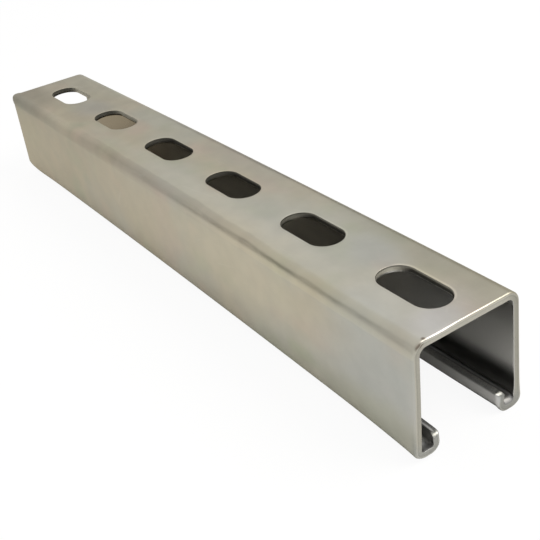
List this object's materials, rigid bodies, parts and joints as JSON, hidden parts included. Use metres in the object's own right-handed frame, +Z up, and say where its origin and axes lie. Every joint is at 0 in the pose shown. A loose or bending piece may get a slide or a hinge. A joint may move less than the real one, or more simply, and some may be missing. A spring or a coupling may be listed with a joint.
{
  "type": "slotted strut channel",
  "caption": "Square steel channel bent from one strip, with a row of long slots along its web and an open mouth between two inturned lips.",
  "frame": {"origin": "middle of the bottom of the bounding box, level with the undersides of the lips", "axes": "+X along the channel, towards the cut end that has the slot nearer to it; +Z up, out of the slotted web; +Y across the channel"},
  "size_m": [0.3048, 0.0412, 0.0413],
  "materials": {
    "zinc_plated_steel": "satin zinc plate with a faint yellowish passivation"
  },
  "bodies": {
    "root": {"strut_channel": "zinc_plated_steel"}
  },
  "joints": []
}
